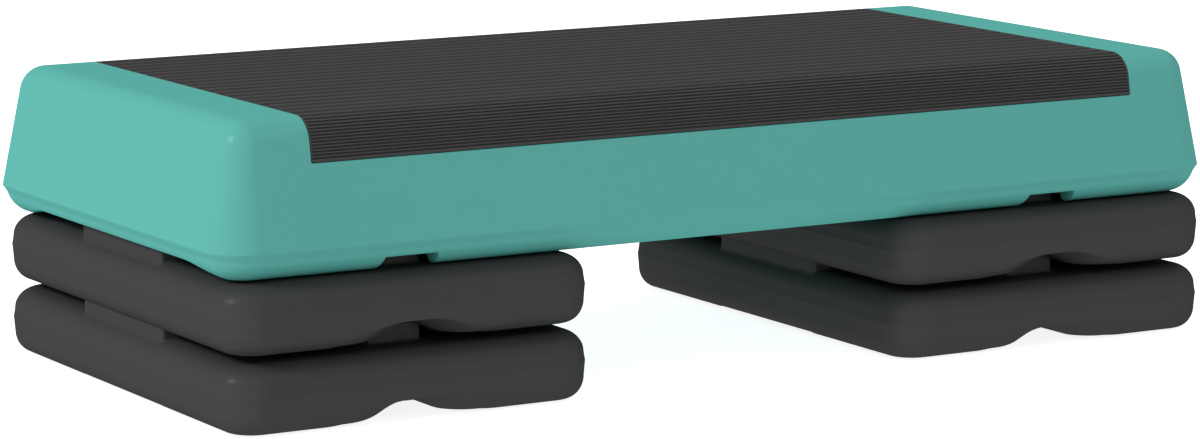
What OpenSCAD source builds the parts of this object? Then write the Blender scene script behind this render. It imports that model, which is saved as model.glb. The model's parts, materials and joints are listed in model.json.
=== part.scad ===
// Stacking step: a blow-moulded deck with a ribbed tread mat, standing on two
// stacks of two risers. Every body is hollow and stands on round rubber feet.
// X runs along the deck, Y across it, Z up. The origin lies on the floor, in the
// middle of the footprint.

/* [Deck] */
// Length of the deck at its moulding seam
deck_l = 780; // [760:1:860]
// Width of the deck at its moulding seam
deck_w = 371; // [360:1:400]
// Height of the deck from its underside to the tread
deck_h = 101.5; // [95:0.5:110]
// Height of the moulding seam above the underside
deck_seam = 19; // [17:0.5:24]
// Plan radius of the deck's corners at the seam
deck_corner_r = 30; // [28:1:36]
// Radius of the edge around the top
deck_edge_r = 15; // [13:0.5:17]
// Lean of the two ends from upright, in degrees
end_draft = 11.1; // [8:0.1:13]
// Lean of the two long sides from upright, in degrees
side_draft = 10; // [8:0.1:12]
// How far the deck sits behind the middle of its risers
deck_back = 5.6; // [0:0.1:8]

/* [Tread mat] */
// Length of the mat
mat_l = 643; // [600:1:650]
// How far the mat reaches down the long sides from the tread
mat_drop = 28.3; // [26:0.1:40]
// Thickness of the mat at the top of its ribs
mat_t = 4; // [3.5:0.1:4.5]
// Depth of the grooves between the ribs
rib_depth = 0.9; // [0.5:0.1:1.5]
// Distance from rib to rib, measured along the tilted rib axis
rib_step = 2.1; // [2:0.05:4]
// Tilt of the rib axis from upright, which spreads the ribs on the tread
rib_tilt = 7.8; // [7:0.1:20]

/* [Risers] */
// Length of a riser along the deck
riser_l = 268.7; // [260:0.1:275]
// Width of a riser across the deck
riser_w = 370; // [350:0.5:380]
// Height of a riser from its underside to its flat top
riser_h = 45.5; // [44:0.5:47]
// Height of the moulding seam above the underside
riser_seam = 24.5; // [22:0.5:26]
// Plan radius of a riser's corners
riser_corner_r = 31; // [28:1:36]
// Radius of the edge around a riser's top
riser_top_r = 15.7; // [12:0.1:17]
// Radius of the edge around a riser's underside
riser_foot_r = 12.6; // [10:0.1:14]
// Step in height from one riser to the next
riser_pitch = 51; // [50:0.5:54]
// Distance of each stack from the middle of the deck
riser_x = 252.5; // [240:0.5:255]

/* [Bosses and sockets] */
// Height of the cross-shaped boss above a riser's flat top
boss_h = 13; // [11:0.5:13]
// Reach of the boss's wide bar from the middle of the riser
bar_reach = 124.7; // [118:0.1:125]
// Half width of the wide bar
bar_half = 62; // [50:1:75]
// Reach of the boss's narrow key from the middle of the riser
key_reach = 148.4; // [140:0.1:150]
// Half width of the narrow key
key_half = 19; // [12:0.5:20]
// Room around the boss inside a socket
socket_gap = 1.5; // [1:0.1:2]

/* [Feet] */
// Radius of a rubber foot
foot_r = 13; // [10:0.5:14]
// Thickness of a rubber foot
foot_t = 4; // [4:0.5:5]
// How far a foot stands proud of the plastic
foot_proud = 1; // [0.5:0.1:1.2]

/* [Hidden] */
// The four risers, each a name, a side and a level above the floor
RISERS = [
    ["riser_lower_left", -1, 0],
    ["riser_lower_right", 1, 0],
    ["riser_upper_left", -1, 1],
    ["riser_upper_right", 1, 1]
];
CORNERS = [[-1, -1], [1, -1], [1, 1], [-1, 1]];

teal = [0.37, 0.71, 0.66];
charcoal = [0.24, 0.24, 0.25];
black = [0.12, 0.12, 0.13];

wall = 3;                   // thickness of the moulded walls
skin = 0.02;                // a thin slice that starts or ends a blended form
over = 1;                   // how far a cut runs past the face it opens
bead = 0.6;                 // how far the moulding seam stands proud
bead_t = 1.6;               // thickness of the moulding seam
outer_fn = 32;
inner_fn = 16;

// Places across the object: the footprint's middle lies at Y = 0
deck_y = deck_back / 2 - (deck_w - riser_w) / 4;
stack_y = deck_y - deck_back;
deck_z = foot_proud + riser_pitch + riser_h + foot_proud;

// The deck's upper edge, followed from the seam by the draft of each side
edge_z = deck_h - deck_edge_r;
edge_x = deck_l / 2 - tan(end_draft) * (edge_z - deck_seam) - deck_edge_r / cos(end_draft);
edge_y = deck_w / 2 - tan(side_draft) * (edge_z - deck_seam) - deck_edge_r / cos(side_draft);
deck_step = 1.1;            // the lower half starts this far inside the seam
deck_under = 9;             // and its wall ends this far inside it
deck_under_r = 12.6;        // width of the rounding below that
deck_under_h = 10.3;        // height of that rounding

socket_d = boss_h - (riser_pitch - riser_h);    // a riser rests on the boss below it
deck_socket_d = boss_h - foot_proud + 0.3;      // the deck rests on its feet instead
socket_wall = 6;
bar_r = 8;
key_r = 2;

// Finger scoops under a riser's front and back edge, with a wider mouth at the edge
scoop_half = 38;
scoop_flat = 11;
scoop_h = 12.5;
mouth_half = 75;
mouth_h = 14.4;
mouth_in = 20;
mouth_end = 0.35;           // share of its size that the mouth has at its inner end

// Notches under the deck's front and back edge, and the long ones under its ends
notch_h = 9;
notch_flat = key_half + socket_gap;
notch_half = notch_flat + 5;
end_notch_h = 8.2;
end_notch_flat = 110;
end_notch_half = 165;
end_notch_in = 36;

// Shallow grooves across the underside between the stacks, which stiffen it
groove_w = 14;
groove_l = 230;
groove_d = 3;
groove_step = 38;

vent_r = 4;                 // lets air out of the hollow as it is moulded
riser_foot_x = 98;
riser_foot_y = 138;
deck_foot_x = 335;
deck_foot_y = 140;
foot_seat = foot_t - foot_proud;
foot_gap = 0.3;
mat_gap = 0.4;

function foot_name(owner, i) = str("foot_", owner, "_", i);

// A point on the tread outline, where a plane tilted by rib_tilt and lying at the
// height u along the rib axis cuts the front half of the deck. The outline is the
// leaning side, then the round edge, then the flat tread; sink moves it inwards.
function outline_u(y, z) = z * cos(rib_tilt) + y * sin(rib_tilt);
u_edge = outline_u(-edge_y, edge_z);
u_side = u_edge + deck_edge_r * sin(side_draft - rib_tilt);
u_top = u_edge + deck_edge_r * sin(90 - rib_tilt);
function side_point(z, sink) =
    [-deck_w / 2 + tan(side_draft) * (z - deck_seam) + sink / cos(side_draft), z];
function edge_point(a, sink) =
    [-edge_y - (deck_edge_r - sink) * cos(a), edge_z + (deck_edge_r - sink) * sin(a)];
function side_z(u) = (u + (deck_w / 2 + tan(side_draft) * deck_seam) * sin(rib_tilt))
    / (cos(rib_tilt) + tan(side_draft) * sin(rib_tilt));
function outline(u, sink) =
    u < u_side ? side_point(side_z(u), sink)
    : u < u_top ? edge_point(rib_tilt + asin((u - u_edge) / deck_edge_r), sink)
    : [(u - deck_h * cos(rib_tilt)) / sin(rib_tilt), deck_h - sink];

// Ribs are counted from the middle of the tread, so that both sides match
u_mid = outline_u(0, deck_h);
u_low = outline_u(side_point(deck_h - mat_drop, 0)[0], deck_h - mat_drop);
rib_count = floor((u_mid - u_low - rib_step) / rib_step);
rib_ease = 0.03;            // half the share of a step that a groove's flank takes
// Corners of a groove, each its place in steps from the groove's middle and its depth
rib_corners = [
    [0.25 + rib_ease, 0], [0.25 - rib_ease, rib_depth],
    [-0.25 + rib_ease, rib_depth], [-0.25 - rib_ease, 0]
];

front_ribs = [
    for (k = [rib_count:-1:1])
        for (p = rib_corners)
            outline(u_mid - (k - 0.5 + p[0]) * rib_step, p[1])
];
mat_outer = concat(
    [side_point(deck_h - mat_drop, 0)],
    front_ribs,
    [for (i = [len(front_ribs) - 1:-1:0]) [-front_ribs[i][0], front_ribs[i][1]]],
    [[-side_point(deck_h - mat_drop, 0)[0], deck_h - mat_drop]]
);
arc_steps = 8;
inner_front = concat(
    [side_point(deck_h - mat_drop, mat_t)],
    [for (i = [0:arc_steps]) edge_point(side_draft + (90 - side_draft) * i / arc_steps, mat_t)]
);
mat_inner = concat(
    inner_front,
    [for (i = [len(inner_front) - 1:-1:0]) [-inner_front[i][0], inner_front[i][1]]]
);
function reversed(list) = [for (i = [len(list) - 1:-1:0]) list[i]];

module at_corners(x, y) {
    for (c = CORNERS)
        translate([c[0] * x, c[1] * y, 0])
            children();
}

// The middles of the two stacks, seen from the middle of the deck
module at_stacks() {
    for (side = [-1, 1])
        translate([side * riser_x, stack_y - deck_y, 0])
            children();
}

// Both ends of the key, seen from the middle of a stack, each with its own X axis
// running across the object and its Z axis running outwards
module at_key_ends(inset) {
    for (side = [0, 180])
        rotate([0, 0, side])
            translate([0, -(key_reach + socket_gap - inset), 0])
                rotate([90, 0, 0])
                    children();
}

// A rectangle with round corners, in the middle
module plate(l, w, r) {
    square([l - 2 * r, w], center = true);
    square([l, w - 2 * r], center = true);
    for (c = CORNERS)
        translate([c[0] * (l / 2 - r), c[1] * (w / 2 - r)])
            circle(r);
}

// A disc of radius r whose upper edge is rounded over the width e and the height h
module edge_disc(r, e, h) {
    rotate_extrude()
        polygon(concat(
            [[0, 0]],
            [for (a = [0:11.25:90]) [r - e + e * cos(a), h * sin(a)]],
            [[0, h]]
        ));
}

// A smooth hollow in a lower edge: flat in the middle, its flanks half a cosine wave
module scoop(flat, half, h, grow) {
    flank = [for (i = [0:12]) [flat + (half - flat) * i / 12 + grow, (h + grow) * (1 + cos(15 * i)) / 2]];
    polygon(concat(
        [[-flank[12][0], -over]],
        [for (i = [12:-1:0]) [-flank[i][0], flank[i][1]]],
        flank,
        [[flank[12][0], -over]]
    ));
}

// The cross of a boss, or of the socket round it
module cross(grow) {
    plate(2 * (bar_reach + grow), 2 * (bar_half + grow), bar_r);
    plate(2 * (key_half + grow), 2 * (key_reach + grow), key_r);
}

// Four foot seats in an underside, or the plastic round them when grow is its thickness
module foot_seats(x, y, grow) {
    translate([0, 0, -over])
        at_corners(x, y)
            cylinder(r = foot_r + foot_gap + grow, h = foot_seat + grow + over);
}

// One round foot under an underside at z = 0, its lower rim bevelled
module foot(x, y, i) {
    bevel = 0.5;
    color(black)
        translate([CORNERS[i - 1][0] * x, CORNERS[i - 1][1] * y, -foot_proud]) {
            cylinder(r1 = foot_r - bevel, r2 = foot_r, h = bevel, $fn = outer_fn);
            translate([0, 0, bevel])
                cylinder(r = foot_r, h = foot_t - bevel, $fn = outer_fn);
        }
}

// ---- risers -------------------------------------------------------------------

// The riser's outer form, or the hollow inside it when sink is the wall's thickness
module riser_form(sink) {
    x = riser_l / 2 - riser_corner_r;
    y = riser_w / 2 - riser_corner_r;
    r = riser_corner_r - bead - sink;
    translate([0, 0, riser_seam - skin])
        hull() {
            at_corners(x, y) cylinder(r = r, h = skin);
            translate([0, 0, riser_h - riser_top_r - riser_seam])
                at_corners(x, y) edge_disc(r - 0.15, riser_top_r - sink, riser_top_r - sink);
        }
    translate([0, 0, riser_seam])
        mirror([0, 0, 1])
            hull() {
                at_corners(x, y) cylinder(r = r, h = skin);
                translate([0, 0, riser_seam - riser_foot_r])
                    at_corners(x, y) edge_disc(r - 0.3, riser_foot_r - sink, riser_foot_r - sink);
            }
}

// The scoops run in from the front and back edges to the ends of the socket's key, and
// their mouths open towards the edge
module riser_scoops(grow) {
    at_key_ends(over + grow)
        linear_extrude(height = riser_w / 2)
            scoop(scoop_flat, scoop_half, scoop_h, grow);
    at_key_ends(key_reach + socket_gap + mouth_in + grow - riser_w / 2)
        linear_extrude(height = mouth_in + grow, scale = 1 / mouth_end)
            scale(mouth_end)
                scoop(scoop_flat, mouth_half, mouth_h, grow);
}

module riser_hollow() {
    difference() {
        union() {
            riser_form(wall, $fn = inner_fn);
            translate([0, 0, riser_h - 2 * wall])
                linear_extrude(height = boss_h + wall)
                    cross(-wall);
        }
        translate([0, 0, -over])
            linear_extrude(height = socket_d + wall + over)
                cross(socket_gap + socket_wall);
        riser_scoops(wall);
        foot_seats(riser_foot_x, riser_foot_y, wall);
    }
}

module riser() {
    color(charcoal)
        difference() {
            union() {
                riser_form(0, $fn = outer_fn);
                translate([0, 0, riser_seam - bead_t / 2])
                    linear_extrude(height = bead_t)
                        plate(riser_l, riser_w, riser_corner_r, $fn = 2 * outer_fn);
                translate([0, 0, riser_h - riser_top_r])
                    linear_extrude(height = boss_h + riser_top_r)
                        cross(0, $fn = outer_fn);
            }
            riser_hollow();
            translate([0, 0, -over])
                linear_extrude(height = socket_d + over)
                    cross(socket_gap, $fn = outer_fn);
            riser_scoops(0);
            foot_seats(riser_foot_x, riser_foot_y, 0, $fn = outer_fn);
            cylinder(r = vent_r, h = riser_h / 2, $fn = inner_fn);
        }
}

module place_riser(r) {
    translate([r[1] * riser_x, stack_y, foot_proud + r[2] * riser_pitch])
        children();
}

// ---- deck ---------------------------------------------------------------------

// The deck's outer form, or the hollow inside it: sink is the wall's thickness, and
// top_sink the same at the top, where the wall goes round behind the mat
module deck_form(sink, top_sink) {
    x = deck_l / 2 - deck_corner_r;
    y = deck_w / 2 - deck_corner_r;
    r = deck_corner_r - sink;
    top_r = deck_edge_r - top_sink;
    translate([0, 0, deck_seam - skin])
        hull() {
            at_corners(x, y) cylinder(r = r - bead / 2, h = skin);
            translate([0, 0, edge_z - deck_seam])
                at_corners(edge_x, edge_y) edge_disc(top_r, top_r, top_r);
        }
    translate([0, 0, deck_seam])
        mirror([0, 0, 1])
            hull() {
                at_corners(x, y) cylinder(r = r - deck_step, h = skin);
                translate([0, 0, deck_seam - deck_under_h])
                    at_corners(x, y) edge_disc(r - deck_under, deck_under_r - sink, deck_under_h - sink);
            }
}

module deck_sockets(grow, deep) {
    translate([0, 0, -over])
        at_stacks()
            linear_extrude(height = deep + over)
                cross(grow);
}

// Notches run from the long sides in to the ends of each socket's key, and a long
// shallow one crosses the lower edge of each end
module deck_notches(grow) {
    at_stacks()
        at_key_ends(over + grow)
            linear_extrude(height = deck_w / 2)
                polygon([
                    [-notch_half - grow, -over],
                    [-notch_flat - grow, notch_h + grow],
                    [notch_flat + grow, notch_h + grow],
                    [notch_half + grow, -over]
                ]);
    for (side = [0, 180])
        rotate([0, 0, side])
            translate([deck_l / 2 - end_notch_in - grow, 0, 0])
                rotate([90, 0, 90])
                    linear_extrude(height = end_notch_in + grow + over)
                        scoop(end_notch_flat, end_notch_half, end_notch_h, grow);
}

module deck_grooves(grow) {
    for (i = [-2:2])
        translate([i * groove_step, 0, -over])
            linear_extrude(height = groove_d + grow + over)
                plate(groove_w + 2 * grow, groove_l + 2 * grow, groove_w / 2 - skin + grow);
}

module deck_hollow() {
    difference() {
        deck_form(wall, wall + mat_t, $fn = inner_fn);
        deck_sockets(socket_gap + socket_wall, deck_socket_d + wall);
        deck_notches(wall);
        deck_grooves(wall, $fn = inner_fn);
        foot_seats(deck_foot_x, deck_foot_y, wall);
    }
}

// The bed that the mat lies in, open above and at both sides
module mat_bed() {
    low = deck_h - mat_drop - mat_gap;
    far = deck_w / 2 + over;
    translate([-mat_l / 2 - mat_gap, 0, 0])
        rotate([90, 0, 90])
            linear_extrude(height = mat_l + 2 * mat_gap)
                polygon(concat(
                    mat_inner,
                    [[-mat_inner[0][0], low], [far, low], [far, deck_h + over]],
                    [[-far, deck_h + over], [-far, low], [mat_inner[0][0], low]]
                ));
}

module deck_shell() {
    color(teal)
        difference() {
            union() {
                deck_form(0, 0, $fn = outer_fn);
                translate([0, 0, deck_seam - bead_t / 2])
                    linear_extrude(height = bead_t)
                        plate(deck_l, deck_w, deck_corner_r, $fn = 2 * outer_fn);
            }
            deck_hollow();
            mat_bed();
            deck_sockets(socket_gap, deck_socket_d, $fn = outer_fn);
            deck_notches(0);
            deck_grooves(0, $fn = outer_fn);
            foot_seats(deck_foot_x, deck_foot_y, 0, $fn = outer_fn);
            translate([groove_step / 2, 0, -over])
                cylinder(r = vent_r, h = 2 * wall + over, $fn = inner_fn);
        }
}

module tread_mat() {
    color(black)
        translate([-mat_l / 2, 0, 0])
            rotate([90, 0, 90])
                linear_extrude(height = mat_l)
                    polygon(concat(mat_outer, reversed(mat_inner)));
}

module place_deck() {
    translate([0, deck_y, deck_z])
        children();
}

place_deck() deck_shell();
place_deck() tread_mat();
for (r = RISERS)
    place_riser(r) riser();
for (r = RISERS)
    for (i = [1:4])
        place_riser(r) foot(riser_foot_x, riser_foot_y, i);
for (i = [1:4])
    place_deck() foot(deck_foot_x, deck_foot_y, i);
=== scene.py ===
import json
import math

import bmesh
import bpy
import numpy as np
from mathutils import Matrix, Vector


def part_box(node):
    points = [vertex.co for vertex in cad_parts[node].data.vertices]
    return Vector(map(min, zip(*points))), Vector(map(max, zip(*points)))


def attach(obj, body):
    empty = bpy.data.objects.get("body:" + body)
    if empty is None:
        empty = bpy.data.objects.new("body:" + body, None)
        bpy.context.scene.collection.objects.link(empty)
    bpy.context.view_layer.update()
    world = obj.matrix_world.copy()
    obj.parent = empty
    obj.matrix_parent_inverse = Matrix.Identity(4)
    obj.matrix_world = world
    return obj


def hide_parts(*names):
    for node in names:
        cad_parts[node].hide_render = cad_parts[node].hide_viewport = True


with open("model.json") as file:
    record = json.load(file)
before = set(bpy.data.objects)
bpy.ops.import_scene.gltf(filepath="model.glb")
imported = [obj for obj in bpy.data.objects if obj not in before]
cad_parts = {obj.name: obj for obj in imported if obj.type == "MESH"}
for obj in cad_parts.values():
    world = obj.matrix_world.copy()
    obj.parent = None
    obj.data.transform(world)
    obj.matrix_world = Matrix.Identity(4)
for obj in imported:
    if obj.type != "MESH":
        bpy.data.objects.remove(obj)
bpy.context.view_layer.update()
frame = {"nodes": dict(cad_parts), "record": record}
mm = 0.001


# ---- shader graphs ----

class Wire:
    # one socket of a node tree; arithmetic on it adds Math nodes
    def __init__(self, graph, socket):
        self.graph = graph
        self.socket = socket

    def maths(self, operation, *others):
        return self.graph.put("ShaderNodeMath", {"operation": operation}, [self, *others])

    def __add__(self, other):
        return self.maths("ADD", other)

    def __radd__(self, other):
        return self.graph.put("ShaderNodeMath", {"operation": "ADD"}, [other, self])

    def __sub__(self, other):
        return self.maths("SUBTRACT", other)

    def __rsub__(self, other):
        return self.graph.put("ShaderNodeMath", {"operation": "SUBTRACT"}, [other, self])

    def __mul__(self, other):
        return self.maths("MULTIPLY", other)

    def __pow__(self, other):
        return self.maths("POWER", other)

    def clamped(self):
        return self.graph.put("ShaderNodeMath", {"operation": "ADD", "use_clamp": True}, [self, 0.0])

    def part(self, name):
        return Wire(self.graph, self.socket.node.outputs[name])


class Graph:
    # a material's or the world's node tree, emptied
    def __init__(self, owner):
        owner.use_nodes = True
        self.tree = owner.node_tree
        self.tree.nodes.clear()

    def put(self, kind, settings=None, values=None):
        # a node: its settings first, then the values or wires of its sockets, by place or by name
        node = self.tree.nodes.new(kind)
        for name, value in (settings or {}).items():
            setattr(node, name, value)
        pairs = values.items() if isinstance(values, dict) else enumerate(values or [])
        for key, value in pairs:
            socket = node.inputs[key]
            if isinstance(value, Wire):
                self.tree.links.new(value.socket, socket)
            else:
                socket.default_value = value
        shown = [s for s in node.outputs if s.enabled]
        return Wire(self, shown[0]) if shown else node

    def noise(self, place, scale, detail=3.0, roughness=0.5):
        return self.put("ShaderNodeTexNoise", {}, {"Vector": place, "Scale": scale, "Detail": detail,
                                                   "Roughness": roughness})

    def mixColour(self, share, first, second):
        return self.put("ShaderNodeMix", {"data_type": "RGBA"}, {0: share, 6: first, 7: second}).part(2)

    def remap(self, value, low, high, newLow, newHigh):
        return self.put("ShaderNodeMapRange", {}, [value, low, high, newLow, newHigh])

    def seenDirectly(self):
        # one for rays from the camera, from a mirror or through glass, and zero for diffuse light
        path = self.put("ShaderNodeLightPath")
        camera, glossy = path.part("Is Camera Ray"), path.part("Is Glossy Ray")
        return (camera + glossy + path.part("Is Transmission Ray")).clamped()


def linear(*srgb):
    # display numbers from 0 to 255 as a linear colour
    c = np.array(srgb, float) / 255
    c = np.where(c <= 0.04045, c / 12.92, ((c + 0.055) / 1.055) ** 2.4)
    return (*(float(v) for v in c), 1.0)


# ---- meshes ----

def sheetFaces(rows, columns, start=0, closed=False):
    # quads of a grid of points that lie row by row; closed joins the last column to the first
    j, i = np.meshgrid(np.arange(rows - 1), np.arange(columns if closed else columns - 1), indexing="ij")
    right = (i + 1) % columns
    quads = [j * columns + i, j * columns + right, (j + 1) * columns + right, (j + 1) * columns + i]
    return np.stack(quads, -1).reshape(-1, 4) + start


def makePiece(name, grids, material, body, nodes, weld=2e-6):
    # grids is a list of (points as rows x columns x 3, closed, flip); they are welded into one
    # mesh. A fourth number of a point goes into the attribute "groove", the mask of the rubber's painted
    # groove shade
    points, faces, count = [], [], 0
    for grid, closed, flip in grids:
        rows, columns = grid.shape[:2]
        quads = sheetFaces(rows, columns, count, closed)
        faces.append(quads[:, ::-1] if flip else quads)
        points.append(grid.reshape(-1, grid.shape[2]))
        count += rows * columns
    points, faces = np.concatenate(points), np.concatenate(faces)
    mesh = bpy.data.meshes.new(name)
    mesh.vertices.add(len(points))
    mesh.vertices.foreach_set("co", points[:, :3].astype(np.float32).ravel())
    mesh.loops.add(faces.size)
    mesh.loops.foreach_set("vertex_index", faces.astype(np.int32).ravel())
    mesh.polygons.add(len(faces))
    mesh.polygons.foreach_set("loop_start", np.arange(0, faces.size, 4, dtype=np.int32))
    mesh.update(calc_edges=True)
    if points.shape[1] > 3:
        groove = mesh.attributes.new("groove", "FLOAT", "POINT")
        groove.data.foreach_set("value", points[:, 3].astype(np.float32))
    work = bmesh.new()
    work.from_mesh(mesh)
    bmesh.ops.remove_doubles(work, verts=work.verts, dist=weld)
    bmesh.ops.dissolve_degenerate(work, dist=1e-7, edges=work.edges)
    bmesh.ops.recalc_face_normals(work, faces=work.faces)
    work.to_mesh(mesh)
    work.free()
    mesh.shade_smooth()
    mesh.materials.append(material)
    piece = bpy.data.objects.new(name, mesh)
    bpy.context.scene.collection.objects.link(piece)
    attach(piece, body)
    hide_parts(*nodes)
    return piece


def crowd(places, offsets):
    # every offset, in millimetres, on both sides of the middle, round each of the places
    places, offsets = np.atleast_1d(places), np.asarray(offsets) * mm
    sides = np.where(places < 0, -1.0, 1.0)
    return (places[:, None] + sides[:, None] * offsets[None, :]).ravel()


def gridLines(half, step, *crowds):
    # lines from -half to half: even ones a step apart, with the crowds between them
    even = np.linspace(-half, half, int(round(2 * half / step)) + 1)
    lines = np.concatenate([even[1:-1], *crowds])
    lines = np.unique(np.round(lines[np.abs(lines) < half - 0.3 * mm], 6))
    return lines[np.concatenate([[True], np.diff(lines) > 0.02 * mm])]


def planLoop(xs, ys, turns):
    # once round a rectangle with round corners, counter-clockwise. Straight runs hold the
    # given lines; fixed is nan where the corner of the core decides; side and normal place
    # a point at side * core + reach * normal; along grows from point to point
    quarter = np.linspace(0, math.pi / 2, turns + 1)
    runs = []
    for k, (lines, axis) in enumerate([(xs, 0), (ys, 1), (xs[::-1], 0), (ys[::-1], 1)]):
        side = [(1, -1), (1, 1), (-1, 1), (-1, -1)][k]
        facing = -math.pi / 2 + k * math.pi / 2
        fixed = np.full((len(lines), 2), np.nan)
        fixed[:, axis] = lines
        normal = np.tile([math.cos(facing), math.sin(facing)], (len(lines), 1))
        along = 10 * k + (1 if k < 2 else -1) * lines
        runs.append(np.column_stack([fixed, np.tile(side, (len(lines), 1)), normal, along]))
        arc = facing + quarter
        runs.append(np.column_stack([np.full((len(arc), 2), np.nan), np.tile(side, (len(arc), 1)),
                                     np.cos(arc), np.sin(arc), 10 * k + 1 + quarter]))
    loop = np.vstack(runs)
    return {"fixed": loop[:, 0:2], "side": loop[:, 2:4], "normal": loop[:, 4:6], "along": loop[:, 6]}


def loopPoints(loop, core, reach):
    # core and reach are arrays of rows x 2, or rows x columns x 2: the core's half sizes
    # and how far the form stands out from it; the result is rows x columns x 2
    core = core if core.ndim == 3 else core[:, None, :]
    reach = reach if reach.ndim == 3 else reach[:, None, :]
    base = np.where(np.isnan(loop["fixed"]), loop["side"] * core, loop["fixed"])
    return base + reach * loop["normal"]


def softMax(a, b, r):
    # the larger of two heights, rounded over about r where they cross
    return np.maximum(a, b) + np.maximum(r - np.abs(a - b), 0) ** 2 / (4 * r)


def cornerDistance(pastX, pastY, r):
    # signed distance to a corner of radius r, from how far a point reaches past its core:
    # the length of that, less the radius, and negative inside
    outside = np.hypot(np.maximum(pastX, 0), np.maximum(pastY, 0))
    return outside + np.minimum(np.maximum(pastX, pastY), 0) - r


def boxDistance(x, y, halfX, halfY, r):
    # signed distance to a rectangle with round corners
    return cornerDistance(np.abs(x) - halfX + r, np.abs(y) - halfY + r, r)


def wave(distance, flat, half, height):
    # a scoop's cross section: flat in the middle, then half a cosine wave down to nothing,
    # and below nothing past that
    t = (np.abs(distance) - flat) / (half - flat)
    cosine = height * (1 + np.cos(math.pi * np.clip(t, 0, 1))) / 2
    return np.where(t < 1, cosine, -2 * height * (t - 1) ** 2)


def recess(distance, depth, rim, wall=0.3 * mm):
    # depth of a sunk form by the distance outside its outline: a steep wall, and a rim
    # that is rounded over the radius rim
    lip = rim - np.sqrt(np.maximum(rim ** 2 - (rim - np.clip(distance, 0, rim)) ** 2, 0))
    sunk = rim + (depth - rim) * np.clip(-distance / wall, 0, 1)
    return np.where(distance < 0, sunk, np.where(distance < rim, lip, -1.0))


def window(distance, height, wall=0.3 * mm):
    # height where distance is above nothing, and far below nothing elsewhere
    return np.where(distance > -wall / 2, height, -1.0)


def smoothStep(t):
    # 3 t^2 - 2 t^3, which is level at 0 and at 1
    return t ** 2 * (3 - 2 * t)


def eased(distance, r):
    # how far a rounding of radius r draws a surface in at this distance from its edge
    return r * (1 - np.sqrt(1 - np.clip(1 - distance / r, 0, 1) ** 2))


# ---- sizes shared by the deck and the risers ----

cross = {
    "barReach": 124.7 * mm,     # the wide bar, along the deck
    "barHalf": 62 * mm,
    "keyReach": 148.4 * mm,     # the narrow key, across it
    "keyHalf": 19 * mm,
    "barRadius": 2.5 * mm,
    "keyRadius": 2 * mm,
    "fillet": 2.5 * mm,         # where bar and key meet
    "height": 13 * mm,
    "edge": 1.6 * mm,           # rounding of the boss's upper edge,
    "foot": 1.8 * mm,           # and of the fillet at its foot
    "draft": 0.35 * mm,         # how much wider it is below than above
    "room": 1.5 * mm,           # round the boss in a socket
    "rim": 1.0 * mm,            # rounding of a socket's rim
}


def crossDistance(x, y, grow):
    bar = boxDistance(x, y, cross["barReach"] + grow, cross["barHalf"] + grow, cross["barRadius"])
    key = boxDistance(x, y, cross["keyHalf"] + grow, cross["keyReach"] + grow, cross["keyRadius"])
    return np.minimum(bar, key)


# mesh lines round a steep wall and its rim, and more where rounded corners end, in millimetres
wallOffsets = [-1.5, -0.3, 0, 0.12, 0.35, 0.65, 1.0, 2]
cornerOffsets = [-2.5, -2, -1, -0.6]


# ---- materials ----

def mouldedPlastic(name, colour, grain, gloss, fleck, sheen):
    # blow-moulded polyethylene: a finely eroded skin, slow waves in the wall, faint
    # mottling in the colour, and a drift in gloss where it has been handled. The sheen is a
    # thin coat, which fades as (1 - facing)^2 towards grazing, where the skin scatters
    material = bpy.data.materials.new(name)
    g = Graph(material)
    place = g.put("ShaderNodeTexCoord").part("Object")
    slow = g.noise(place, 9.0, 2.0)
    cloud = g.noise(place, 42.0, 4.0, 0.6)
    fine = g.noise(place, 1500.0, 2.0, 0.6)
    pit = g.put("ShaderNodeTexVoronoi", {"feature": "SMOOTH_F1"},
                {"Vector": place, "Scale": 900.0, "Smoothness": 0.6})
    dark = tuple(v * (1 - fleck) for v in colour[:3]) + (1.0,)
    light = tuple(min(1.0, v * (1 + fleck)) for v in colour[:3]) + (1.0,)
    tone = g.mixColour((cloud * 0.6 + slow * 0.4).clamped(), dark, light)
    drawn = g.put("ShaderNodeMapping", {}, {"Vector": place, "Scale": (1.0, 5.0, 5.0)})
    scuff = g.remap(g.noise(drawn, 30.0, 5.0, 0.65), 0.62, 0.78, 0.0, 1.0)
    roughness = gloss + (cloud - 0.5) * 0.10 + scuff * 0.05
    skin = fine * 0.6 + pit * 0.4
    bump = g.put("ShaderNodeBump", {}, {"Strength": grain, "Distance": 0.00012, "Height": skin})
    waves = g.put("ShaderNodeBump", {}, {"Strength": 0.18, "Distance": 0.0006, "Height": slow,
                                         "Normal": bump})
    facing = g.put("ShaderNodeLayerWeight", {}, {"Blend": 0.5}).part("Facing")
    shader = g.put("ShaderNodeBsdfPrincipled", {}, {
        "Base Color": tone, "Roughness": roughness, "Normal": waves, "IOR": 1.5, "Specular IOR Level": 0.0,
        "Coat Weight": (1 - facing) ** 2 * sheen, "Coat Roughness": gloss, "Coat IOR": 1.5})
    g.put("ShaderNodeOutputMaterial", {}, {"Surface": shader})
    return material


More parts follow.
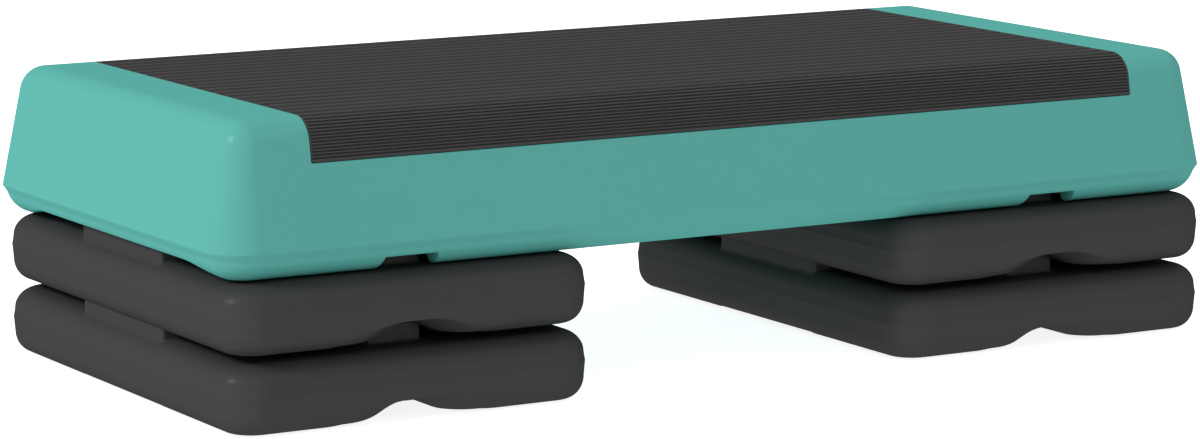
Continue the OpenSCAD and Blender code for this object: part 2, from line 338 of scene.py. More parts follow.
def mouldedRubber(name, colour, sunk, grain):
    # moulded rubber: matte, with a fine grain and a little dust in its slow mottling; the colour goes
    # over to sunk, a painted shade in the grooves, where the attribute "groove" rises to one
    material = bpy.data.materials.new(name)
    g = Graph(material)
    place = g.put("ShaderNodeTexCoord").part("Object")
    cloud = g.noise(place, 30.0, 4.0, 0.6)
    fine = g.noise(place, 1800.0, 2.0, 0.65)
    dark = tuple(v * 0.92 for v in colour[:3]) + (1.0,)
    light = tuple(v * 1.09 for v in colour[:3]) + (1.0,)
    groove = g.put("ShaderNodeAttribute", {"attribute_name": "groove"}).part("Fac")
    # painted shade: the colour darkens to sunk inside the grooves, where shade falls
    tone = g.mixColour(groove, g.mixColour(cloud, dark, light), sunk)
    bump = g.put("ShaderNodeBump", {}, {"Strength": grain, "Distance": 0.0001, "Height": fine})
    roughness = 0.72 + (cloud - 0.5) * 0.12
    shader = g.put("ShaderNodeBsdfPrincipled", {}, {
        "Base Color": tone, "Roughness": roughness, "Normal": bump, "IOR": 1.45, "Specular IOR Level": 0.0})
    g.put("ShaderNodeOutputMaterial", {}, {"Surface": shader})
    return material


deckPlastic = mouldedPlastic("deckPlastic", linear(100, 189, 180), 0.25, 0.28, 0.02, 0.4)
riserPlastic = mouldedPlastic("riserPlastic", linear(69, 69, 69), 0.35, 0.33, 0.04, 0.25)
# each rubber's second colour is the painted shade in its grooves; the feet carry no "groove" attribute, so
# theirs never shows
matRubber = mouldedRubber("matRubber", linear(81, 81, 81), linear(70, 70, 70), 0.3)
footRubber = mouldedRubber("footRubber", linear(38, 38, 39), linear(30, 30, 30), 0.4)
print("materials made")


# ---- risers ----

riser = {
    "cornerRadius": 28 * mm,
    "seamHeight": 24.6 * mm,
    "upper": 1.3 * mm,          # the upper half starts this far inside the box
    "upperLean": 0.4 * mm,      # and leans in by this much up to the rounding
    "seam": 0.7 * mm,           # the same for the seam, a low swelling,
    "seamAbove": 3.6 * mm,      # which fades over this height above
    "seamBelow": 1.6 * mm,      # and below its tip
    "topWidth": 17.6 * mm,
    "topHeight": 14.8 * mm,
    "lower": 0.9 * mm,          # and for the lower half
    "lowerLean": 0.7 * mm,
    "footWidth": 12.5 * mm,
    "footHeight": 14.8 * mm,
    "socketDepth": 7.5 * mm,
    "scoopHalf": (31.1 * mm, 75 * mm),      # inside, and at the mouth
    "scoopHeight": (11.8 * mm, 14.4 * mm),
    "scoopFlat": (0, 8.5 * mm),
    "scoopMouth": 24.5 * mm,    # the mouth narrows over this depth
    "scoopDepth": 61 * mm,
    "scoopEdge": 4 * mm,        # how softly it meets the side and the underside
    "gridStep": 9 * mm,
    "turns": 20,                # steps round each plan corner
}


def riserProfile(height):
    # rows of (inset from the box, height) from the flat top down to the underside. Both
    # roundings are quarters of an ellipse: inset = width (1 - cos a), height = sin a. The
    # seam swells out to its tip and back as half a cosine wave on each side
    seam, upper, lower = riser["seamHeight"], riser["upper"], riser["lower"]
    shoulder, ankle = height - riser["topHeight"], riser["footHeight"]
    a = np.linspace(math.pi / 2, 0, 24)
    top = np.column_stack([upper + riser["upperLean"] + riser["topWidth"] * (1 - np.cos(a)),
                           shoulder + riser["topHeight"] * np.sin(a)])
    tip, t = riser["seam"], np.linspace(1, 0, 8)
    swell = (1 - np.cos(math.pi * t)) / 2
    above = np.column_stack([tip + (upper - tip) * swell, seam + riser["seamAbove"] * t])
    below = np.column_stack([tip + (lower - tip) * swell, seam - riser["seamBelow"] * t])[::-1]
    seamRows = np.vstack([above, below[1:]])
    b = np.linspace(0, math.pi / 2, 28)
    foot = np.column_stack([lower + riser["lowerLean"] + riser["footWidth"] * (1 - np.cos(b)),
                            ankle * (1 - np.sin(b))])
    wallUp = np.linspace(top[-1], seamRows[0], 5)[1:-1]
    wallDown = np.linspace(seamRows[-1], foot[0], 8)[1:-1]
    return np.vstack([top, wallUp, seamRows, wallDown, foot])


def riserUnderside(x, y, z, faceY):
    # the finger scoops are funnels that cut the lower edge: their width and height ease from
    # the mouth's to the inner ones as the square of what is left of the mouth's depth. The
    # socket sinks into the underside
    past = faceY - np.abs(y)
    mouth = np.clip(1 - past / riser["scoopMouth"], 0, 1) ** 2
    flat, half, height = (inner + (outer - inner) * mouth for inner, outer in
                          (riser["scoopFlat"], riser["scoopHalf"], riser["scoopHeight"]))
    scoop = window(riser["scoopDepth"] - past, wave(x, flat, half, height))
    cut = softMax(z, scoop, riser["scoopEdge"])
    socket = recess(crossDistance(x, y, cross["room"]), riser["socketDepth"], cross["rim"])
    return np.maximum(cut, socket)


def riserGrids(low, high):
    middle = (low + high) / 2
    half = (high - low)[:2] / 2
    height = (high - low)[2] - cross["height"]
    core = half - riser["cornerRadius"]
    reach, keyEnd = cross["barReach"] + cross["room"], cross["keyReach"] + cross["room"]
    barSide, keySide = cross["barHalf"] + cross["room"], cross["keyHalf"] + cross["room"]
    faceY = half[1] - riser["upper"]
    scoopEnd, inwards = faceY - riser["scoopDepth"], [-0.3, -0.15, 0, 0.5, 3, 6, 10, 14, 18, 22, 25]
    flank = np.linspace(2 * mm, riser["scoopHalf"][1] + 3 * mm, 39)
    xs = gridLines(core[0], riser["gridStep"], crowd([-keySide, keySide], wallOffsets), flank, -flank)
    ys = gridLines(core[1], riser["gridStep"], crowd([-barSide, barSide], wallOffsets + cornerOffsets),
                   crowd([-keyEnd, keyEnd], wallOffsets + [-4, -5]), crowd([-scoopEnd, scoopEnd], inwards))
    loop = planLoop(xs, ys, riser["turns"])
    profile = riserProfile(height)
    # past the rounding the underside runs in flat, with rows crowding at the socket's end
    flatStart = riser["cornerRadius"] - profile[-1, 0]
    marks = np.concatenate([crowd(reach, wallOffsets + cornerOffsets), crowd(keyEnd, wallOffsets)])
    marks = (marks - core[0])[(marks > core[0]) & (marks < core[0] + flatStart)]
    inRows = np.unique(np.concatenate([np.linspace(flatStart, 0, 14)[1:], marks]))[::-1]
    reachRows = np.concatenate([riser["cornerRadius"] - profile[:, 0], inRows])
    zRows = np.concatenate([profile[:, 1], np.zeros(len(inRows))])
    plan = loopPoints(loop, np.tile(core, (len(reachRows), 1)), np.column_stack([reachRows, reachRows]))
    z = np.broadcast_to(zRows[:, None], plan.shape[:2])
    # nothing is cut at the seam or above it
    cut = riserUnderside(plan[..., 0], plan[..., 1], z, faceY)
    z = np.where(z < riser["seamHeight"] - 2 * mm, cut, z)
    side = np.dstack([plan, z])
    x, y = np.meshgrid(np.r_[-core[0], xs, core[0]], np.r_[-core[1], ys, core[1]])
    under = np.dstack([x, y, riserUnderside(x, y, np.zeros_like(x), faceY)])
    # the flat top is one strip inwards from the first row, down to the core
    topRows = loopPoints(loop, np.tile(core, (3, 1)), np.linspace(reachRows[0], 0, 3)[:, None] * np.ones(2))
    topSide = np.dstack([topRows, np.full(topRows.shape[:2], height)])
    top = np.dstack([x, y, np.full_like(x, height)])
    grids = [(side, True, False), (under, False, False), (topSide, True, False), (top, False, False)]
    grids.append((bossGrid(half, height), True, False))
    base = np.array([middle[0], middle[1], low[2]])
    return [(grid + base, closed, flip) for grid, closed, flip in grids]


def crossOutline():
    # one quarter of the cross, mirrored twice: straight runs, convex arcs at the ends of the
    # bar and key, and a concave fillet where they meet
    bx, by, kx, ky = cross["barReach"], cross["barHalf"], cross["keyHalf"], cross["keyReach"]
    rb, rk, rf = cross["barRadius"], cross["keyRadius"], cross["fillet"]
    quarter = np.linspace(0, math.pi / 2, 11)

    def run(start, end, count, normal):
        t = np.linspace(0, 1, count)[:-1, None]
        return np.hstack([np.array(start) * (1 - t) + np.array(end) * t, np.tile(normal, (count - 1, 1))])

    def turn(cx, cy, r, angles, sign):
        n = np.column_stack([np.cos(angles), np.sin(angles)])
        return np.hstack([np.array([cx, cy]) + r * n, sign * n])

    part = np.vstack([
        run((bx, 0), (bx, by - rb), 8, (1, 0)),
        turn(bx - rb, by - rb, rb, quarter, 1),
        run((bx - rb, by), (kx + rf, by), 16, (0, 1))[1:],
        turn(kx + rf, by + rf, rf, -math.pi / 2 - quarter, -1),
        run((kx, by + rf), (kx, ky - rk), 14, (1, 0))[1:],
        turn(kx - rk, ky - rk, rk, quarter, 1),
        run((kx - rk, ky), (0, ky), 4, (0, 1))[1:],
        [[0, ky, 0, 1]],
    ])
    flipX, flipY = np.array([-1, 1, -1, 1]), np.array([1, -1, 1, -1])
    upper = np.vstack([part, (part * flipX)[::-1][1:]])
    return np.vstack([upper, (upper * flipY)[::-1][1:-1]])


def bossGrid(half, height):
    # rows of (distance outside the outline, height, share of the local ground): a rounded
    # edge, a steep wall, and a fillet that meets whatever the riser's top does there
    outline = crossOutline()
    edge, foot, draft = cross["edge"], cross["foot"], cross["draft"]
    top = height + cross["height"]
    a = np.linspace(0, math.pi / 2, 7)
    upper = np.column_stack([-edge + edge * np.sin(a), top - edge * (1 - np.cos(a)), 0 * a])
    b = np.linspace(0, math.pi / 2, 7)
    lower = np.column_stack([draft + foot * (1 - np.cos(b)), foot * (1 - np.sin(b)), 0 * b + 1])
    rows = np.vstack([[-edge - 0.3 * mm, top, 0], upper, [draft / 2, (top + height + foot) / 2, 0], lower,
                      [draft + foot + 0.3 * mm, -1 * mm, 1]])
    plan = outline[None, :, :2] + rows[:, 0, None, None] * outline[None, :, 2:]
    wide, tall = riser["topWidth"], riser["topHeight"]
    past = np.abs(plan[..., 0]) - (half[0] - riser["upper"] - riser["upperLean"] - wide)
    ground = height - tall + tall * np.sqrt(1 - np.clip(past / wide, 0, 1) ** 2)
    z = rows[:, 1, None] + rows[:, 2, None] * ground
    ring = np.dstack([plan, z])
    # the first row shrinks to the middle of the flat top, and the last one is closed below it
    middle = np.zeros((1, ring.shape[1], 3))
    middle[..., 2] = top
    inner = np.vstack([ring[:1] * np.array([s, s, 1.0]) for s in (0.3, 0.6, 0.9, 0.98)])
    closing = np.zeros((1, ring.shape[1], 3))
    closing[..., 2] = height - 2 * mm
    return np.vstack([middle, inner, ring, closing])


def bodyOf(node):
    return next(name for name, nodes in frame["record"]["behaviour"]["bodies"].items() if node in nodes)


for level in ("lower", "upper"):
    for side in ("left", "right"):
        node = f"riser_{level}_{side}"
        low, high = (np.array(corner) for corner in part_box(node))
        makePiece(f"riserShell_{level}_{side}", riserGrids(low, high), riserPlastic, bodyOf(node), [node])
print("risers made")


# ---- deck ----

deck = {
    "cornerRadius": 29 * mm,
    "seamHeight": 19.1 * mm,
    "endDraft": math.radians(11.1),
    "sideDraft": math.radians(10.0),
    "edgeRadius": 18.5 * mm,
    "chamfer": 3.3 * mm,        # below the seam a flat band slants in by this much
    "chamferHeight": 5.2 * mm,
    "lean": 3.9 * mm,           # then the wall leans in
    "underWidth": 13.3 * mm,    # and is rounded over this width besides
    "socketDepth": 12.3 * mm,
    "notchHeight": 9.1 * mm,
    "notchFlat": 19 * mm,
    "notchHalf": 21.6 * mm,
    "notchEdge": 0.7 * mm,      # how softly the notches meet the rest
    "notchLip": 24 * mm,        # thickness of the lip behind a notch
    "pocketHalf": 34 * mm,      # and half width of the pocket behind that
    "pocketIn": 70 * mm,
    "pocketRadius": 4 * mm,
    "endNotchHeight": 8.2 * mm,
    "endNotchFlat": 110 * mm,
    "endNotchHalf": 165 * mm,
    "endNotchIn": 36 * mm,
    "grooveStep": 38 * mm,
    "grooveLength": 230 * mm,
    "grooveWidth": 14 * mm,
    "grooveDepth": 3 * mm,
    "grooveSlope": 4 * mm,      # width of its rounded flanks
    "gridStep": (16 * mm, 14 * mm),
    "turns": 24,
}
mat = {
    "thickness": 4 * mm,
    "gap": 0.4 * mm,            # round the mat in its bed
    "rim": 0.55 * mm,           # rounding of the bed's rim,
    "bedWall": 0.2 * mm,        # and width of its steep wall
    "cornerRadius": 1.5 * mm,
    "cornerFade": 30 * mm,      # the round corners are taken up within this much of the ends
    "lowerEase": 0.45 * mm,     # rounding of the lower edges,
    "endEase": 0.35 * mm,       # and of both ends
    "border": 0.5 * mm,         # left plain at both ends
    "runOut": 0.8 * mm,         # length over which the grooves end there
    "ribDepth": 0.9 * mm,
    "ribStep": 2.1 * mm,        # along the tilted rib axis
    "ribTilt": math.radians(7.8),
}

deckLow, deckHigh = (np.array(corner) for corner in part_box("deck_shell"))
deckMiddle = (deckLow + deckHigh) / 2
deckHalf = (deckHigh - deckLow)[:2] / 2
deckHeight = (deckHigh - deckLow)[2]
stackMiddle = sum(np.array(c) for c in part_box("riser_upper_right")) / 2
stackX, stackY = stackMiddle[0], stackMiddle[1] - deckMiddle[1]
matLow, matHigh = (np.array(corner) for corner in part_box("tread_mat"))
matHalf = (matHigh - matLow)[0] / 2
matBottom = matLow[2] - deckLow[2]

drafts = np.array([deck["endDraft"], deck["sideDraft"]])
edgeZ = deckHeight - deck["edgeRadius"]
edgeCore = deckHalf - np.tan(drafts) * (edgeZ - deck["seamHeight"]) - deck["edgeRadius"] / np.cos(drafts)
seamCore = deckHalf - deck["cornerRadius"]


def straight(distance, flat, half, height):
    # a notch's cross section: flat in the middle, with straight slanting flanks
    return height * np.minimum((half - np.abs(distance)) / (half - flat), 1)


def deckUnderside(x, y, z):
    # two sockets, the finger notches across the front and back edges with a pocket behind
    # each, the long shallow notches of the two ends, and the stiffening grooves
    fromStack = np.abs(x) - stackX
    away = y - stackY
    fromFace = deckHalf[1] - np.abs(y)
    section = straight(fromStack, deck["notchFlat"], deck["notchHalf"], deck["notchHeight"])
    notch = window(deck["pocketIn"] - fromFace, section)
    middle = (deck["notchLip"] + deck["pocketIn"]) / 2
    pocket = boxDistance(fromStack, fromFace - middle, deck["pocketHalf"], deck["pocketIn"] - middle,
                         deck["pocketRadius"])
    endNotch = window(np.abs(x) - (deckHalf[0] - deck["endNotchIn"]),
                      wave(away, deck["endNotchFlat"], deck["endNotchHalf"], deck["endNotchHeight"]))
    cut = softMax(softMax(z, notch, deck["notchEdge"]), endNotch, deck["notchEdge"])
    sunk = np.minimum(crossDistance(fromStack, away, cross["room"]), pocket)
    sockets = recess(sunk, deck["socketDepth"], cross["rim"])
    step, slope, grooveHalf = deck["grooveStep"], deck["grooveSlope"], deck["grooveWidth"] / 2
    nearest = np.clip(np.round(x / step), -2, 2) * step
    groove = boxDistance(x - nearest, y, grooveHalf, deck["grooveLength"] / 2, grooveHalf)
    valley = deck["grooveDepth"] * (1 - np.clip((groove + slope) / slope, 0, 1) ** 2) - 1e-5
    return np.maximum(np.maximum(cut, sockets), np.where(groove < 0, valley, -1.0))


def bedDepth(distance):
    # how deep the shell's skin lies at a distance outside the mat's bed
    return np.maximum(recess(distance, mat["thickness"] + mat["gap"], mat["rim"], mat["bedWall"]), 0)


def deckSideRows():
    # the wall and the round edge above the seam, as shares of each; rows crowd where the
    # mat's bed ends
    span = edgeZ + deck["edgeRadius"] * math.sin(deck["sideDraft"]) - deck["seamHeight"]
    bed = (matBottom - mat["gap"] - deck["seamHeight"]) / span
    marks = bed + np.array([-3, -1.6, -1, -0.7, -0.56, -0.48, -0.38, -0.26, -0.14, -0.04, 0, 0.1, 0.2, 0.5,
                            1.0, 1.6, 2.2, 2.8, 3.4]) * mm / span
    share = np.unique(np.concatenate([np.linspace(0.016, 1, 12), marks]))
    return share, np.linspace(0, 1, 27)[1:]


def deckGrids():
    stepX, stepY = deck["gridStep"]
    reach = cross["barReach"] + cross["room"]
    barSide, keySide = cross["barHalf"] + cross["room"], cross["keyHalf"] + cross["room"]
    keyEnd = cross["keyReach"] + cross["room"]
    matEdge = matHalf + mat["gap"]
    inner = np.array([s * (stackX - reach) for s in (-1, 1)])
    keySides = np.array([s * stackX + t * keySide for s in (-1, 1) for t in (-1, 1)])
    flank = np.r_[np.linspace(-1, 1, 6) * mm + deck["notchFlat"],
                  np.linspace(-1.5, 1, 4) * mm + deck["notchHalf"]]
    flanks = np.concatenate([s * stackX + t * flank for s in (-1, 1) for t in (-1, 1)])
    grooveX = np.concatenate([i * deck["grooveStep"] + np.linspace(-7, 7, 8) * mm for i in range(-2, 3)])
    rimMarks = [-4.2, -3.6, -3, -2.4, -1.8, -1.2, -0.7, -0.3, -0.2, -0.1, 0, 0.05, 0.15, 0.28, 0.4, 0.5,
                0.56, 1]
    pocketSides = np.array([s * stackX + t * deck["pocketHalf"] for s in (-1, 1) for t in (-1, 1)])
    notchEnd, pocketEnd = deckHalf[0] - deck["endNotchIn"], deckHalf[1] - deck["pocketIn"]
    xs = gridLines(seamCore[0], stepX, crowd(inner, [-o for o in wallOffsets + cornerOffsets]),
                   crowd(keySides, wallOffsets), crowd(pocketSides, wallOffsets), flanks, grooveX,
                   crowd([-notchEnd, notchEnd], [-0.15, 0, 0.15]), crowd([-matEdge, matEdge], rimMarks))
    endFlank = np.linspace(deck["endNotchFlat"], deck["endNotchHalf"] + 3 * mm, 16)
    barSides = np.array([-barSide, barSide])
    grooveY = np.linspace(-7, 1, 7) * mm + deck["grooveLength"] / 2
    ys = gridLines(seamCore[1], stepY, crowd(barSides, wallOffsets + cornerOffsets) + stackY,
                   crowd([-keyEnd, keyEnd], wallOffsets) + stackY, endFlank + stackY, stackY - endFlank,
                   grooveY, -grooveY, crowd([-pocketEnd, pocketEnd], [-o for o in wallOffsets]))
    loop = planLoop(xs, ys, deck["turns"])
    # above the seam the form is plainer, so its loop has fewer lines
    broadX = gridLines(seamCore[0], stepX, crowd([-matEdge, matEdge], rimMarks))
    broadY = gridLines(seamCore[1], stepY)
    broad = planLoop(broadX, broadY, deck["turns"])
    normal = broad["normal"]
    draft = (normal ** 2 * drafts).sum(1)

    # above the seam: the leaning wall, then the round edge. z = seam + share * rise on the
    # wall, and core + R cos(a), edgeZ + R sin(a) on the edge
    wall, arc = deckSideRows()
    footReach = deck["cornerRadius"]
    tip = edgeZ + deck["edgeRadius"] * np.sin(draft)
    wallCore = seamCore + wall[:, None] * (edgeCore - seamCore)
    wallReach = footReach + wall[:, None] * (deck["edgeRadius"] * np.cos(draft) - footReach)
    wallPlan = loopPoints(broad, wallCore, wallReach[:, :, None] * np.ones(2))
    wallZ = deck["seamHeight"] + wall[:, None] * (tip - deck["seamHeight"])
    angle = draft + arc[:, None] * (math.pi / 2 - draft)
    arcReach = deck["edgeRadius"] * np.cos(angle)
    arcPlan = loopPoints(broad, np.tile(edgeCore, (len(arc), 1)), arcReach[:, :, None] * np.ones(2))
    arcZ = edgeZ + deck["edgeRadius"] * np.sin(angle)
    plan, z = np.vstack([wallPlan, arcPlan]), np.vstack([wallZ, arcZ])
    tilt = np.vstack([np.broadcast_to(draft, wallZ.shape), angle])
    onLongSide = np.abs(normal[:, 1]) > 0.999999
    below = (matBottom - mat["gap"] - z) / math.cos(deck["sideDraft"])
    sunk = bedDepth(boxBed(plan[..., 0], below)) * onLongSide
    outward = np.dstack([normal[:, 0] * np.cos(tilt), normal[:, 1] * np.cos(tilt), np.sin(tilt)])
    upper = (np.dstack([plan, z]) - sunk[..., None] * outward)[::-1]

    # the flat tread, sunk where the mat lies
    x, y = np.meshgrid(np.r_[-edgeCore[0], broadX, edgeCore[0]], np.r_[-edgeCore[1], broadY, edgeCore[1]])
    top = np.dstack([x, y, deckHeight - bedDepth(np.abs(x) - matEdge)])

    # below the seam, as rows of (inset, height): the slanting band first
    chamfer, bandLow = deck["chamfer"], deck["seamHeight"] - deck["chamferHeight"]
    t = np.array([0, 0.06, 0.14, 0.5, 0.84, 0.93])
    band = np.column_stack([chamfer * t, deck["seamHeight"] - deck["chamferHeight"] * t])
    # then inset = chamfer + lean sin b + width (1 - cos b), height = its height at the band (1 - sin b)
    b = np.linspace(0, math.pi / 2, 30)
    turned = np.column_stack([chamfer + deck["lean"] * np.sin(b) + deck["underWidth"] * (1 - np.cos(b)),
                              bandLow * (1 - np.sin(b))])
    rows = np.vstack([band, turned])
    flatStart = deck["cornerRadius"] - rows[-1, 0]
    endMarks = crowd(stackX + reach, wallOffsets) - seamCore[0]
    lipMarks = deck["cornerRadius"] - deck["notchLip"] - np.array(wallOffsets) * mm
    inRows = np.concatenate([np.linspace(flatStart, 0, 10)[1:], endMarks[endMarks < flatStart], lipMarks])
    inRows = np.unique(np.clip(inRows, 0, flatStart * 0.999))[::-1]
    reachRows = np.concatenate([deck["cornerRadius"] - rows[:, 0], inRows])
    zRows = np.concatenate([rows[:, 1], np.zeros(len(inRows))])
    lowReach = np.column_stack([reachRows, reachRows])
    lowPlan = loopPoints(loop, np.tile(seamCore, (len(reachRows), 1)), lowReach)
    lowZ = np.broadcast_to(zRows[:, None], lowPlan.shape[:2])
    cut = deckUnderside(lowPlan[..., 0], lowPlan[..., 1], lowZ)
    lowZ = np.where(lowZ < bandLow, cut, lowZ)
    lower = np.dstack([lowPlan, lowZ])
    x0, y0 = np.meshgrid(np.r_[-seamCore[0], xs, seamCore[0]], np.r_[-seamCore[1], ys, seamCore[1]])
    under = np.dstack([x0, y0, deckUnderside(x0, y0, np.zeros_like(x0))])

    # between the two loops each point below meets the nearest one above
    nearest = np.abs(loop["along"][:, None] - broad["along"][None, :]).argmin(1)
    joint = np.stack([upper[-1][nearest], lower[0]])
    base = np.array([deckMiddle[0], deckMiddle[1], deckLow[2]])
    return [(grid + base, closed, False) for grid, closed in
            [(upper, True), (joint, True), (lower, True), (top, False), (under, False)]]


def boxBed(x, below):
    # distance outside the bed, which is |x| < half and above its lower edge, corners rounded
    r = mat["cornerRadius"]
    return cornerDistance(np.abs(x) - matHalf - mat["gap"] + r, below + r, r)


makePiece("deckShell", deckGrids(), deckPlastic, "deck", ["deck_shell"])
print("deck made")


# ---- tread mat ----

def treadOutline(u, sink):
    # where a plane at height u along the tilted rib axis cuts the front half of the deck:
    # the leaning side, the round edge, then the flat tread, all moved inwards by sink
    t, d, r = mat["ribTilt"], deck["sideDraft"], deck["edgeRadius"]
    wallY = deckHalf[1] + math.tan(d) * deck["seamHeight"]
    uEdge = edgeZ * math.cos(t) - edgeCore[1] * math.sin(t)
    sideZ = (u + wallY * math.sin(t)) / (math.cos(t) + math.tan(d) * math.sin(t))
    sideY = -wallY + math.tan(d) * sideZ
    a = t + np.arcsin(np.clip((u - uEdge) / r, -1, 1))
    arcY, arcZ = -edgeCore[1] - r * np.cos(a), edgeZ + r * np.sin(a)
    topY = (u - deckHeight * math.cos(t)) / math.sin(t)
    onSide = u < uEdge + r * math.sin(d - t)
    onTop = u > uEdge + r * math.cos(t)
    y = np.where(onSide, sideY, np.where(onTop, topY, arcY))
    z = np.where(onSide, sideZ, np.where(onTop, deckHeight, arcZ))
    facing = np.where(onSide, d, np.where(onTop, math.pi / 2, a))
    return np.column_stack([y + sink * np.cos(facing), z - sink * np.sin(facing)])


def matGrids():
    step, t = mat["ribStep"], mat["ribTilt"]
    lowY = -(deckHalf[1] + math.tan(deck["sideDraft"]) * (deck["seamHeight"] - matBottom))
    uLow = matBottom * math.cos(t) + lowY * math.sin(t)
    uMiddle = deckHeight * math.cos(t)
    # samples crowd at the flanks of each groove, which fills the middle half of a step
    half = np.array([0, 0.1, 0.19, 0.215, 0.23, 0.24, 0.25, 0.26, 0.27, 0.285, 0.31, 0.4])
    share = np.concatenate([half, [0.5], 1 - half[:0:-1]])
    count = int((uMiddle - uLow) / step)
    u = uMiddle - (np.arange(count)[:, None] + share[None, :]).ravel() * step
    u = np.concatenate([u[u > uLow + 0.5 * mm], uLow + np.array([0.45, 0.3, 0.15, 0.05, 0]) * mm])
    phase = np.abs(((uMiddle - u) / step) % 1 - 0.5)
    # groove is how deep in a groove a point lies: it sinks the skin, and as the fourth number it sets the
    # painted shade in the grooves
    groove = smoothStep(np.clip((0.28 - phase) / 0.06, 0, 1)) * (u > uLow + 0.6 * step)
    lowEase = eased(u - uLow, mat["lowerEase"])
    crest, inner = treadOutline(u, 0 * u), treadOutline(u, mat["thickness"] + 0 * u)
    front = np.column_stack([crest, inner, groove, lowEase])
    columns = np.concatenate([front[::-1], front[1:] * np.array([-1, 1, -1, 1, 1, 1])])
    crest, inner, groove, lowEase = columns[:, 0:2], columns[:, 2:4], columns[:, 4:5], columns[:, 5:6]

    # the grooves stop short of both ends, and the rim there is eased inwards
    ends = np.array([0, 0.08, 0.2, 0.35, 0.5, 0.7, 0.9, 1.1, 1.3, 2.0, 4.0]) * mm
    xs = np.concatenate([-matHalf + ends, np.linspace(-matHalf, matHalf, 14)[1:-1], matHalf - ends[::-1]])
    fromEnd = matHalf - np.abs(xs)
    groove = groove * smoothStep(np.clip((fromEnd - mat["border"]) / mat["runOut"], 0, 1))
    ease = eased(fromEnd, mat["endEase"])
    r, fromEdge = mat["cornerRadius"], crest[:, 1] - matBottom
    pull = r - np.sqrt(np.maximum(r ** 2 - np.maximum(r - fromEdge, 0) ** 2, 0))
    pullX = pull[:, None] * np.clip(1 - fromEnd / mat["cornerFade"], 0, 1)
    x = xs[None, :] - np.sign(xs)[None, :] * pullX
    sink = (mat["ribDepth"] * groove + lowEase + ease)[..., None]
    inward = ((inner - crest) / mat["thickness"])[:, None, :]
    skin = np.dstack([x, crest[:, None, :] + inward * sink, groove])
    back = np.dstack([x, np.broadcast_to(inner[:, None, :], x.shape + (2,)), 0 * x])
    ring = np.concatenate([skin, back[:, ::-1]], 1)
    caps = [np.stack([skin[k], back[k]]) for k in (0, -1)]
    base = np.array([deckMiddle[0], deckMiddle[1], deckLow[2], 0])
    return [(ring + base, True, False)] + [(cap + base, False, False) for cap in caps]


makePiece("treadMat", matGrids(), matRubber, "deck", ["tread_mat"])
print("mat made")


# ---- feet ----

foot = {
    "ease": 0.6 * mm,
    "dish": 0.35 * mm,
    "dishRadius": 4 * mm,
    "grooves": (5.5 * mm, 9.2 * mm),        # radii of the two round grooves
    "grooveHalf": 0.8 * mm,
    "grooveDepth": 0.45 * mm,
}


def footGrid(low, high):
    # a disc turned about its axis: an eased rim, a bearing face with two round grooves and a
    # shallow dish in the middle; height(r) = grooves + dish * (1 - r / inner)^2
    middle = (low + high) / 2
    r, ease = (high - low)[0] / 2, foot["ease"]
    a = np.linspace(0, math.pi / 2, 6)
    rim = np.column_stack([r - ease + ease * np.cos(a), low[2] + ease * (1 - np.sin(a))])
    face = np.linspace(r - ease, 0, 44)[1:]
    height = np.zeros_like(face)
    for place in foot["grooves"]:
        height += foot["grooveDepth"] * np.clip(1 - ((face - place) / foot["grooveHalf"]) ** 2, 0, 1)
    height += foot["dish"] * np.clip(1 - face / foot["dishRadius"], 0, 1) ** 2
    profile = np.vstack([[0, high[2]], [r - 0.3 * mm, high[2]], [r, high[2] - 0.3 * mm], rim,
                         np.column_stack([face, low[2] + height])])
    turn = np.linspace(0, 2 * math.pi, 40, endpoint=False)
    x = middle[0] + profile[:, 0, None] * np.cos(turn)
    y = middle[1] + profile[:, 0, None] * np.sin(turn)
    return np.dstack([x, y, np.broadcast_to(profile[:, 1, None], x.shape)])


for node in sorted(n for n in frame["nodes"] if n.startswith("foot_")):
    low, high = (np.array(corner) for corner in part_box(node))
    grids = [(footGrid(low, high), True, False)]
    makePiece(node.replace("foot_", "rubberFoot_"), grids, footRubber, bodyOf(node), [node])
print("feet made")


# ---- stage, light and camera ----

view = {
    "place": (-1.5545, -2.62645, 0.5811),
    "yaw": 30.475,
    "pitch": 9.237,
    "lens": 131.87,
}
light = {
    "sky": 0.652,               # brightness of the surroundings, which light it from all sides,
    "fromBelow": 0.15,          # a little more from below, as over a pale floor
    "key": 1.2,
    "keyTurn": (57, -95),       # tilt from overhead, and turn about Z
    "floorGlow": 0.84,          # what the floor adds for the camera, so that it is white
    "floorHalf": 14.0,
}
white = (1.0, 1.0, 1.0, 1.0)


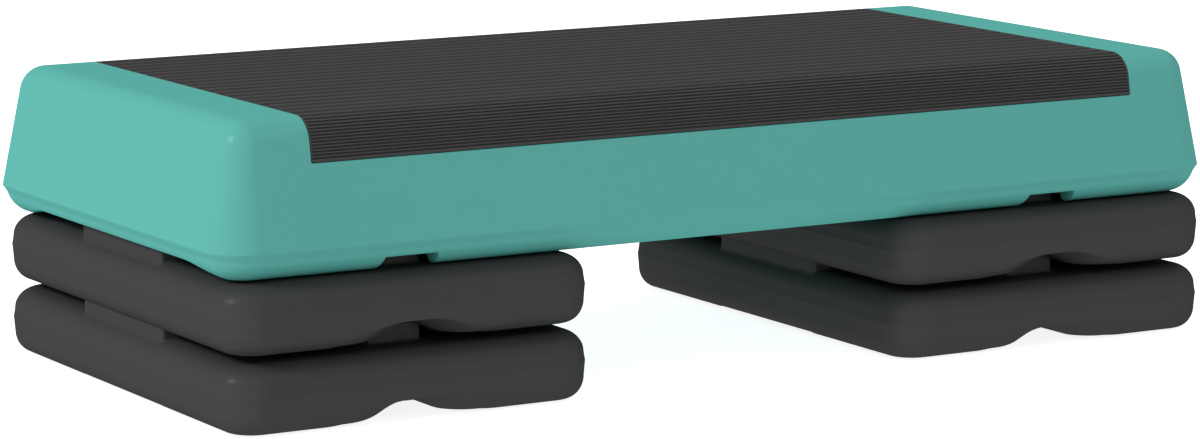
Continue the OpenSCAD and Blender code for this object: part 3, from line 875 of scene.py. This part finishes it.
def makeStage():
    floor = bpy.data.meshes.new("floor")
    s = light["floorHalf"]
    floor.from_pydata([(-s, -s, 0), (s, -s, 0), (s, s, 0), (-s, s, 0)], [], [(0, 1, 2, 3)])
    floorObject = bpy.data.objects.new("floor", floor)
    bpy.context.scene.collection.objects.link(floorObject)
    material = bpy.data.materials.new("paleFloor")
    g = Graph(material)
    paint = g.put("ShaderNodeBsdfDiffuse", {}, {"Color": (0.94, 0.94, 0.94, 1.0)})
    strength = g.seenDirectly() * light["floorGlow"]
    glow = g.put("ShaderNodeEmission", {}, {"Color": white, "Strength": strength})
    shader = g.put("ShaderNodeAddShader", {}, [paint, glow])
    g.put("ShaderNodeOutputMaterial", {}, {"Surface": shader})
    floor.materials.append(material)
    # the floor takes the shadow, and the surroundings' light comes up through it
    floorObject.visible_diffuse = False


def makeWorld():
    world = bpy.data.worlds.new("surroundings")
    bpy.context.scene.world = world
    g = Graph(world)
    seen = g.seenDirectly()
    # straight up is +1: the surroundings dim upwards in step with the height of the direction
    up = g.put("ShaderNodeSeparateXYZ", {}, [g.put("ShaderNodeTexCoord").part("Generated")]).part("Z")
    around = (1 - up * light["fromBelow"]) * light["sky"]
    strength = seen + (1 - seen) * around
    shader = g.put("ShaderNodeBackground", {}, {"Color": white, "Strength": strength})
    g.put("ShaderNodeOutputWorld", {}, {"Surface": shader})


def makeLights():
    key = bpy.data.lights.new("keyLight", "SUN")
    key.energy = light["key"]
    key.angle = math.radians(14)
    keyObject = bpy.data.objects.new("keyLight", key)
    tilt, turn = light["keyTurn"]
    keyObject.rotation_euler = (math.radians(tilt), 0, math.radians(turn))
    bpy.context.scene.collection.objects.link(keyObject)


def makeCamera():
    data = bpy.data.cameras.new("camera")
    data.lens = view["lens"]
    data.sensor_width = 36.0
    data.clip_end = 60.0
    camera = bpy.data.objects.new("camera", data)
    camera.location = view["place"]
    camera.rotation_euler = (math.radians(90 - view["pitch"]), 0, math.radians(-view["yaw"]))
    bpy.context.scene.collection.objects.link(camera)
    bpy.context.scene.camera = camera


makeStage()
makeWorld()
makeLights()
makeCamera()
bpy.context.scene.view_settings.view_transform = "Standard"
print("stage, lights and camera set")
